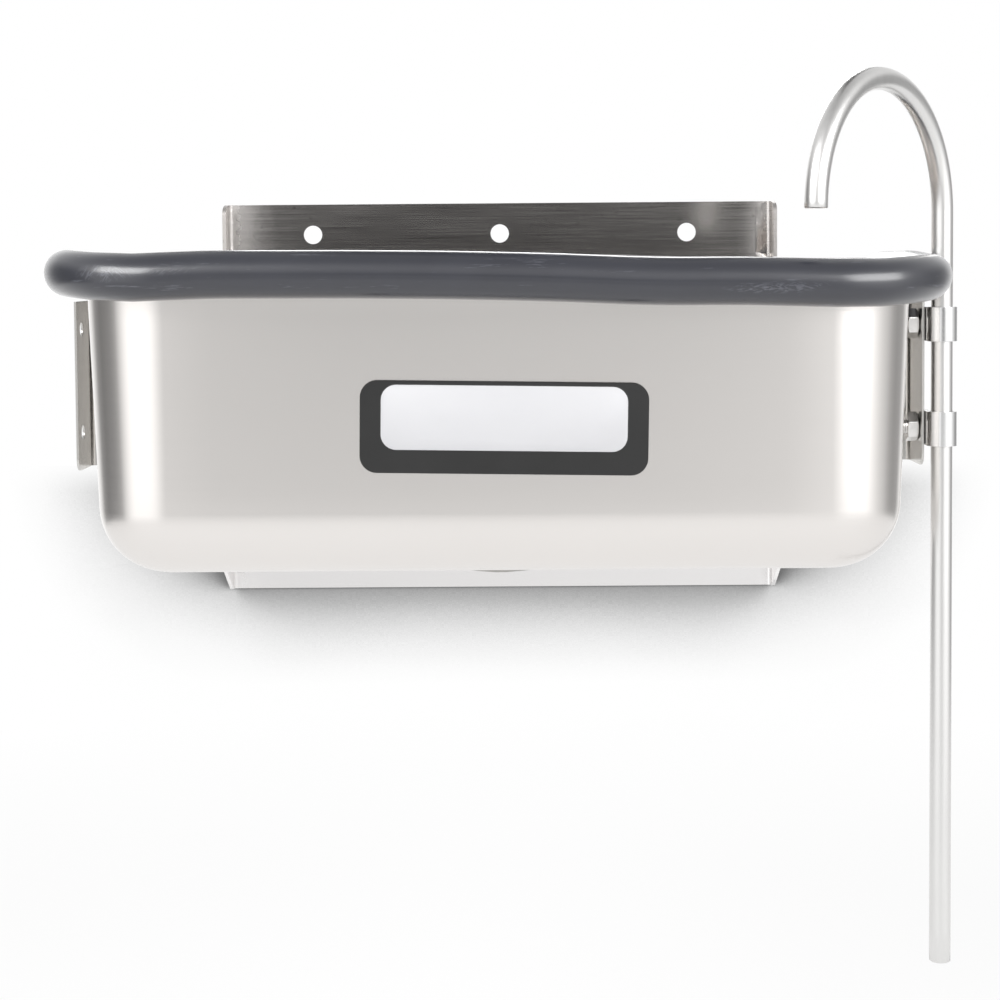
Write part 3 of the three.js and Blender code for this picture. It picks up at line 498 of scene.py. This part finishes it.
def rim_bumper():
    centre_out = BUMPER_RADIUS - BUMPER_LAP
    slot_half = BASIN_SHEET / 2 + SEAT_GAP
    start = -math.acos((SEAT_GAP - centre_out) / BUMPER_RADIUS)
    end = math.pi - math.asin(slot_half / BUMPER_RADIUS)
    outer = arc(centre_out, 0, BUMPER_RADIUS, start, end, BUMPER_STEPS)
    bend = BASIN_SHEET / 2 + RIM_BEND_RADIUS + SEAT_GAP
    section = outer + [
        (RIM_FLANGE_WIDTH + SEAT_GAP, slot_half),
        (RIM_FLANGE_WIDTH + SEAT_GAP, -slot_half),
        (RIM_BEND_RADIUS + SEAT_GAP, -slot_half),
        (SEAT_GAP, -bend),
    ]
    rings = []
    for i, (out, z) in enumerate(section):
        ring = plan_ring(-out, z, BUMPER_SIDE_STEPS)
        if i < len(outer) - 1:
            ring = [(x, y, h + bumper_sag(x, y, h)) for x, y, h in ring]
        rings.append(ring)
    points, faces = loft(rings, True)
    return make("rim_bumper_dressed", points, faces, [BUMPER_RUBBER], "well",
                "rim_bumper", 40)


# ---------------------------------------------------------------- gooseneck
def tube_path():
    """Spots and headings up the tube and over its arch, in the arch's own plane."""
    rise = TUBE_DROP + TUBE_ARCH_BASE
    path = []
    for i in range(TUBE_DROP_STEPS + 1):
        path.append(((0, rise * i / TUBE_DROP_STEPS - TUBE_DROP), (0, 1)))
    for i in range(1, TUBE_ARCH_STEPS + 1):
        a = math.pi * i / TUBE_ARCH_STEPS
        spot = (TUBE_ARCH_RADIUS * (1 - math.cos(a)),
                TUBE_ARCH_BASE + TUBE_ARCH_RADIUS * math.sin(a))
        path.append((spot, (math.sin(a), math.cos(a))))
    return path


def gooseneck():
    path = tube_path()
    turn = Matrix.Rotation(TUBE_TURN, 3, "Z")

    def ring(spot, heading, radius, ahead=0.0):
        (u, z), (du, dz) = spot, heading
        out = []
        for k in range(TUBE_SIDES):
            b = FULL_TURN * k / TUBE_SIDES
            side, normal = radius * math.sin(b), radius * math.cos(b)
            local = Vector((u + du * ahead + dz * normal, side, z + dz * ahead - du * normal))
            p = turn @ local
            out.append((p.x + TUBE_X, p.y + TUBE_Y, p.z))
        return out

    outer, inner = TUBE_DIAMETER / 2, TUBE_BORE / 2
    ease = TUBE_END_EASE
    low, high = path[0], path[-1]
    rings = [ring(*low, inner + ease), ring(*low, outer - ease), ring(*low, outer, ease)]
    rings += [ring(*step, outer) for step in path[1:-1]]
    rings += [ring(*high, outer, -ease), ring(*high, outer - ease), ring(*high, inner + ease)]
    rings += [ring(*high, inner, -ease)]
    rings += [ring(*step, inner) for step in path[-2:0:-1]]
    rings += [ring(*low, inner, ease)]
    points, faces = loft(rings, True)
    return make("gooseneck_tube_dressed", points, faces, [TUBE_STEEL], "gooseneck",
                "gooseneck_tube", 50)


# ---------------------------------------------------------------- label
def rounded(width, height, radius):
    w, h = width / 2 - radius, height / 2 - radius
    points = []
    for quarter, (cx, cy) in enumerate(((w, h), (-w, h), (-w, -h), (w, -h))):
        start = quarter * math.pi / 2
        points += arc(cx, cy, radius, start, start + math.pi / 2, LABEL_STEPS)
    return points


def label():
    """A dark plate, eased at its edge, with a light panel of its own film in the middle."""
    wall_y = BASIN_CENTRE_Y - BASIN_DEPTH / 2
    across = Vector((math.cos(LABEL_TILT), 0, -math.sin(LABEL_TILT)))
    out = Vector((0, -math.cos(BASIN_DRAFT), -math.sin(BASIN_DRAFT)))
    up = out.cross(across)
    centre = Vector((LABEL_SHIFT, wall_y + LABEL_DROP * math.tan(BASIN_DRAFT), -LABEL_DROP))

    def place(u, v, n):
        return tuple(centre + across * u + up * v + out * n)

    low, high = SEAT_GAP, SEAT_GAP + LABEL_THICKNESS
    ease = LABEL_EDGE_EASE
    levels = [
        (LABEL_WIDTH, LABEL_HEIGHT, LABEL_CORNER, 0, low),
        (LABEL_WIDTH, LABEL_HEIGHT, LABEL_CORNER, 0, high - ease),
        (LABEL_WIDTH - 2 * ease, LABEL_HEIGHT - 2 * ease, LABEL_CORNER - ease, 0, high),
        (PANEL_WIDTH + 2 * PANEL_BORDER, PANEL_HEIGHT + 2 * PANEL_BORDER,
         PANEL_CORNER + PANEL_BORDER, PANEL_RISE, high),
        (PANEL_WIDTH, PANEL_HEIGHT, PANEL_CORNER, PANEL_RISE, high),
        (PANEL_WIDTH - PANEL_NARROWS, PANEL_HEIGHT - PANEL_NARROWS,
         PANEL_CORNER - PANEL_CORNER_NARROWS, PANEL_RISE, high + PANEL_THICKNESS),
    ]
    rings = [[place(u, v + rise, n) for u, v in rounded(w, h, r)] for w, h, r, rise, n in levels]
    points, faces = loft(rings, False)
    size = len(rings[0])
    last = len(points) - size
    faces.append(tuple(range(size))[::-1])
    faces.append(tuple(range(last, last + size)))
    piece = make("label_plate_dressed", points, faces, [LABEL_DARK, LABEL_LIGHT], "well",
                 "label_plate", 40)
    panel_start = 4 * size  # the faces from the panel's rim on, but not the label's back
    for i, polygon in enumerate(piece.data.polygons):
        if i >= panel_start and i != len(faces) - 2:
            polygon.material_index = 1
    return piece


# ---------------------------------------------------------------- back plate
def ease_plate_ends(shape):
    """Above the bumper the plate's front face falls back a little before its bends.
    On the right the side face reaches down to the bumper, which is pressed down there."""
    for side in (-1, 1):
        for step in range(0, PLATE_EASE_RUN + 1, 2):
            split(shape, (side * (PLATE_FLAT_END - step), 0, 0), (1, 0, 0))
    for z in (0, 2, 4, PLATE_EASE_RISE):
        split(shape, (0, 0, z), (0, 0, 1))
    for v in shape.verts:
        x, y, z = v.co / MM
        past = abs(x) - PLATE_FLAT_END
        if x > PLATE_FLAT_END - 0.01 and abs(z - NOTCH_TOP) < 0.02:
            v.co.z -= NOTCH_DROP * MM
        if past < 0.01:
            front = PLATE_FRONT[0] < y < PLATE_FRONT[1]
        else:
            bend = math.hypot(past, y + PLATE_BEND_RADIUS)
            front = bend < PLATE_BEND_RADIUS - PLATE_SHEET / 2 and y > -PLATE_BEND_RADIUS
        if front:
            into = held((past + PLATE_EASE_RUN) / PLATE_EASE_RUN)
            leave = held(past / (PLATE_BEND_RADIUS - PLATE_SHEET))
            fall = 0.5 * PLATE_EASE_RUN * PLATE_EASE * into * into * (1 - leave)
            v.co.y += fall * smooth_step(z / PLATE_EASE_RISE) * MM


def split(shape, spot, normal):
    geometry = list(shape.verts) + list(shape.edges) + list(shape.faces)
    bmesh.ops.bisect_plane(shape, geom=geometry, dist=1e-7, plane_co=Vector(spot) * MM,
                           plane_no=normal)


# ---------------------------------------------------------------- threads
def thread(name, place, steel, radius, depth, pitch, low, high, sides):
    """A threaded sleeve that stands out of a plain shank. Its inside is within the shank."""
    count = round((high - low) / pitch * RINGS_PER_PITCH)
    core = radius - 2 * depth

    def ring(z, size):
        turns = [FULL_TURN * k / sides for k in range(sides)]
        return [place(size(k) * math.cos(a), size(k) * math.sin(a), z)
                for k, a in enumerate(turns)]

    def ridge(z, k, ease):
        phase = (z / pitch - k / sides) % 1.0
        return radius - depth + depth * ease * (1 - abs(2 * phase - 1))

    run_out = pitch * THREAD_RUN_OUT
    rings = [ring(low, lambda k: core)]
    for i in range(count + 1):
        z = low + (high - low) * i / count
        ease = max(0.0, min(1.0, (z - low) / run_out, (high - z) / run_out))
        rings.append(ring(z, lambda k: ridge(z, k, ease)))
    rings.append(ring(high, lambda k: core))
    points, faces = loft(rings, True)
    make(name, points, faces, [steel], "well", None, 60)


# ---------------------------------------------------------------- make every piece
basin()
rim_bumper()
gooseneck()
label()
from_cad("back_plate", PLATE_STEEL, "well", 0.25, 3, ease_plate_ends)
for side in ("right", "left"):
    from_cad(side + "_side_bracket", BRACKET_STEEL, "well", 0.12)
for level in ("upper", "lower"):
    from_cad(level + "_tube_clamp", CLAMP_STEEL, "well", 0.12)
    from_cad(level + "_clamp_screw", FASTENER_STEEL, "well", 0.08)
    from_cad(level + "_clamp_nut", FASTENER_STEEL, "well", 0.1)
    from_cad(level + "_clamp_lock_washer", WASHER_STEEL, "well", 0.08)
for level, height in SCREW_HEIGHTS.items():
    thread(level + "_screw_thread", lambda u, v, h: (BRACKET_FACE_X + h, SCREW_Y + u, height + v),
           FASTENER_STEEL, radius=2.22, depth=0.22, pitch=0.7, low=-5.4,
           high=0.6, sides=24)
thread("drain_thread", lambda u, v, h: (u, BASIN_CENTRE_Y + v, h), DRAIN_STEEL,
       radius=13.18, depth=0.3, pitch=1.8, low=-88.6, high=-81.2, sides=64)
from_cad("drain_body", DRAIN_STEEL, "well", 0.15)
from_cad("drain_gasket", SEAL_RUBBER, "well", 0.15)
from_cad("drain_fibre_washer", FIBRE, "well", 0.12)
from_cad("drain_locknut", LOCKNUT_STEEL, "well", 0.2)
from_cad("overflow_tube", DRAIN_STEEL, "overflow", 0.15)
from_cad("overflow_seal", SEAL_RUBBER, "overflow", 0.15)
from_cad("overflow_strainer_cap", DRAIN_STEEL, "overflow", 0.1)


# ---------------------------------------------------------------- studio, in metres
FLOOR_Z, FLOOR_RADIUS, FLOOR_SIDES = -0.30, 0.9, 96
FLOOR_TINT, FLOOR_NEAR_SHARE = 0.9, 0.8
FLOOR_FADE = [(0.45, 0.0), (0.85, 1.0)]
WHITE = (1.0, 1.0, 1.0)

# The wall's painted shadow: its size and place, how far the ambient occlusion reaches, and its
# shades.
WALL_LEFT, WALL_RIGHT, WALL_LOW, WALL_Y = -0.2, 0.2, -0.19, 0.0006
WALL_TOP, WALL_FADE, WALL_REACH = 0.065, 0.01, 0.067
WALL_SHADES = [(0.6, 0.15), (0.73, 0.34), (0.79, 0.5), (0.83, 0.66), (0.89, 0.82), (0.96, 1.0)]

# The world's brightness: by the angle from the front on each side, by height in front, where a
# dark card stands above a light one, and dimmer by height all round and at the back.
WORLD_PEAK = 1.4
WORLD_LEFT = [(8, 0.72), (13, 0.74), (18, 0.95), (26, 1.25), (34, 1.36), (58, 1.36), (66, 1.15),
              (73, 0.85), (81, 0.4), (92, 0.28), (112, 0.22), (126, 0.34), (140, 0.95),
              (158, 1.15)]
WORLD_RIGHT = [(8, 0.74), (11, 0.92), (18, 1.05), (27, 1.25), (34, 1.36), (62, 1.36), (72, 1.1),
               (82, 0.85), (92, 0.68), (102, 0.46), (113, 0.36), (130, 0.42), (142, 0.95),
               (158, 1.15)]
WORLD_FRONT = [(-40, 0.95), (-20, 0.70), (-12, 0.6), (-8, 0.86), (-5, 0.98), (-3, 1.0),
               (-1.5, 0.03), (3.8, 0.03), (6.5, 0.75), (28, 0.8), (60, 0.7)]
WORLD_FRONT_SLOPE = 1.2
WORLD_AHEAD = [(8, 1.0), (10, 0.0)]
WORLD_OVER, WORLD_OVER_SHARE = 0.82, [(12, 0.0), (30, 1.0)]
WORLD_ABOVE = [(40, 1.0), (65, 0.7), (90, 0.55)]
WORLD_ABOVE_BACK = [(10, 1.0), (15, 0.2), (50, 0.05), (72, 0.15), (90, 0.55)]
WORLD_BACK_SHARE = [(164, 0.0), (171, 1.0)]
WORLD_DIFFUSE = 0.42

LAMP_AIM = (0.0, BASIN_CENTRE_Y * MM, -0.03)
# name, azimuth and elevation in degrees, distance, width, height, watts, seen in reflections
LAMPS = [
    ("left_softbox", -44, 29, 1.3, 0.95, 0.5, 12.5, True),
    ("right_softbox", 43, 22, 1.3, 1.0, 0.62, 12.5, True),
    ("rim_softbox", 180, 24, 1.3, 0.5, 0.5, 2.8, True),
    ("top_softbox", 180, 80, 1.2, 0.9, 0.9, 1.5, False),
]

SENSOR_WIDTH, LENS, LENS_SHIFT = 36, 72.79, -0.1288
CAMERA_ANGLES = (-0.292, -2.946, -0.438)  # yaw, pitch and roll in degrees
CAMERA_SPOT = (3.282, -695.777, 2.482)  # in mm


def stage_mesh(name, points, faces, made):
    mesh = bpy.data.meshes.new(name)
    mesh.from_pydata(points, [], faces)
    mesh.materials.append(made)
    piece = bpy.data.objects.new(name, mesh)
    bpy.context.scene.collection.objects.link(piece)
    return piece


def studio_floor():
    """A pale floor that looks white, most of all far out, and keeps some shadow near by."""
    made, n, at = material("studio_floor")
    away = n.add("ShaderNodeVectorMath", {0: at}, operation="LENGTH").outputs["Value"]
    fade = n.ramp(n.math("DIVIDE", away, FLOOR_RADIUS), FLOOR_FADE)
    seen = n.add("ShaderNodeLightPath")
    looked = n.math("ADD", seen.outputs["Is Camera Ray"], seen.outputs["Is Glossy Ray"])
    looked = n.math("ADD", looked, seen.outputs["Is Transmission Ray"], clamp=True)
    share = n.math("ADD", n.math("MULTIPLY", fade, 1 - FLOOR_NEAR_SHARE), FLOOR_NEAR_SHARE)
    share = n.math("MULTIPLY", looked, share)
    matte = n.add("ShaderNodeBsdfDiffuse", {"Color": (FLOOR_TINT, FLOOR_TINT, FLOOR_TINT, 1)})
    glow = n.add("ShaderNodeEmission", {"Color": (*WHITE, 1), "Strength": 1.0})
    mixed = n.add("ShaderNodeMixShader", {0: share, 1: matte.outputs[0], 2: glow.outputs[0]})
    n.add("ShaderNodeOutputMaterial", {"Surface": mixed.outputs[0]})
    turns = [FULL_TURN * k / FLOOR_SIDES for k in range(FLOOR_SIDES)]
    points = [(0, 0, 0)]
    points += [(FLOOR_RADIUS * math.cos(a), FLOOR_RADIUS * math.sin(a), 0) for a in turns]
    faces = [(0, k + 1, (k + 1) % FLOOR_SIDES + 1) for k in range(FLOOR_SIDES)]
    floor = stage_mesh("studio_floor", points, faces, made)
    floor.location = (0, BASIN_CENTRE_Y * MM, FLOOR_Z)


def painted_wall_shadow():
    """A clear patch of the wall that the plate hangs on. A camera in front sees what is behind it
    through a painted shadow, set by ambient occlusion from basin and plate, and nothing else sees
    it."""
    made, n, at = material("painted_wall_shadow")
    height = n.add("ShaderNodeSeparateXYZ", {0: at}).outputs[2]
    reach = {"Distance": WALL_REACH}
    dim = n.add("ShaderNodeAmbientOcclusion", reach, samples=16).outputs["AO"]
    shade = n.ramp(dim, WALL_SHADES)
    below = [(WALL_TOP, 0.0), (WALL_TOP + WALL_FADE, 1.0)]
    low = n.ramp(n.math("MULTIPLY", height, -1.0), below)
    tone = n.mix(low, WHITE, shade)
    seen = n.add("ShaderNodeLightPath").outputs["Is Camera Ray"]
    behind = n.add("ShaderNodeNewGeometry").outputs["Backfacing"]
    shown = n.math("MULTIPLY", seen, n.math("SUBTRACT", 1.0, behind))
    clear = n.add("ShaderNodeBsdfTransparent", {"Color": n.mix(shown, WHITE, tone)})
    n.add("ShaderNodeOutputMaterial", {"Surface": clear.outputs[0]})
    points = [(WALL_LEFT, WALL_Y, WALL_LOW), (WALL_RIGHT, WALL_Y, WALL_LOW),
              (WALL_RIGHT, WALL_Y, -WALL_TOP), (WALL_LEFT, WALL_Y, -WALL_TOP)]
    wall = stage_mesh("painted_wall_shadow", points, [(0, 1, 2, 3)], made)


def by_height(table, peak=1.0):
    """Ramp stops from a table over heights of -90 to 90 degrees."""
    return [((a + 90) / 180, v / peak) for a, v in table]


def by_turn(table):
    """Ramp stops from a table over angles of 0 to 180 degrees from the front."""
    return [(a / 180, v) for a, v in table]


def studio_world():
    """Soft light all round. A camera sees white, and rough surfaces get one even level."""
    world = bpy.context.scene.world or bpy.data.worlds.new("studio")
    bpy.context.scene.world = world
    world.use_nodes = True
    n = Nodes(world.node_tree)
    toward = n.add("ShaderNodeTexCoord").outputs["Generated"]
    x, y, z = n.add("ShaderNodeSeparateXYZ", {0: toward}).outputs
    around = n.math("DIVIDE", n.math("ARCTAN2", x, n.math("MULTIPLY", y, -1.0)), math.pi)
    turn = n.math("ABSOLUTE", around)
    signed = n.math("MULTIPLY", n.math("ADD", around, 1.0), 0.5)
    stops = [((180 - a) / 360, v / WORLD_PEAK) for a, v in WORLD_LEFT[::-1]]
    stops += [((180 + a) / 360, v / WORLD_PEAK) for a, v in WORLD_RIGHT]
    sides = n.ramp(signed, stops)
    lift = n.math("ADD", n.math("MULTIPLY", n.math("ARCSINE", z), 1 / math.pi), 0.5)
    front = n.ramp(lift, by_height(WORLD_FRONT, WORLD_PEAK))
    slope = n.math("ADD", n.math("MULTIPLY", around, WORLD_FRONT_SLOPE), 1.0)
    front = n.math("MULTIPLY", front, slope)
    ahead = n.ramp(turn, by_turn(WORLD_AHEAD))
    over = n.ramp(lift, by_height(WORLD_OVER_SHARE))
    sides = n.mix(over, sides, (WORLD_OVER / WORLD_PEAK,) * 3)
    level = n.math("MULTIPLY", n.mix(ahead, sides, front), WORLD_PEAK)
    above = n.ramp(lift, by_height(WORLD_ABOVE))
    above_back = n.ramp(lift, by_height(WORLD_ABOVE_BACK))
    behind = n.ramp(turn, by_turn(WORLD_BACK_SHARE))
    level = n.math("MULTIPLY", level, n.mix(behind, above, above_back))
    path = n.add("ShaderNodeLightPath")
    seen = n.mix(path.outputs["Is Camera Ray"], level, WHITE)
    colour = n.mix(path.outputs["Is Diffuse Ray"], seen, (WORLD_DIFFUSE,) * 3)
    background = n.add("ShaderNodeBackground", {"Color": colour, "Strength": 1.0})
    n.add("ShaderNodeOutputWorld", {"Surface": background.outputs[0]})


def softbox(name, azimuth, elevation, distance, width, height, watts, glossy):
    data = bpy.data.lights.new(name, "AREA")
    data.shape = "RECTANGLE"
    data.size, data.size_y = width, height
    data.energy = watts
    lamp = bpy.data.objects.new(name, data)
    bpy.context.scene.collection.objects.link(lamp)
    a, e = math.radians(azimuth), math.radians(elevation)
    back = Vector((math.sin(a) * math.cos(e), -math.cos(a) * math.cos(e), math.sin(e)))
    lamp.location = Vector(LAMP_AIM) + back * distance
    lamp.rotation_mode = "QUATERNION"
    lamp.rotation_quaternion = back.to_track_quat("Z", "Y")
    lamp.visible_camera = False
    lamp.visible_glossy = glossy


def camera():
    """The photo's camera, as fitted to it."""
    data = bpy.data.cameras.new("camera")
    data.sensor_width = SENSOR_WIDTH
    data.lens = LENS
    data.shift_y = LENS_SHIFT
    eye = bpy.data.objects.new("camera", data)
    bpy.context.scene.collection.objects.link(eye)
    yaw, pitch, roll = (math.radians(v) for v in CAMERA_ANGLES)
    ahead = Vector((math.sin(yaw) * math.cos(pitch), math.cos(yaw) * math.cos(pitch),
                    math.sin(pitch)))
    right = Vector((math.cos(yaw), -math.sin(yaw), 0))
    up = right.cross(ahead)
    rolled_right = right * math.cos(roll) + up * math.sin(roll)
    rolled_up = -right * math.sin(roll) + up * math.cos(roll)
    place = Matrix((rolled_right, rolled_up, -ahead)).transposed().to_4x4()
    place.translation = Vector(CAMERA_SPOT) * MM
    eye.matrix_world = place
    bpy.context.scene.camera = eye


camera()
studio_floor()
painted_wall_shadow()
studio_world()
for lamp in LAMPS:
    softbox(*lamp)
bpy.context.scene.view_settings.view_transform = "Standard"
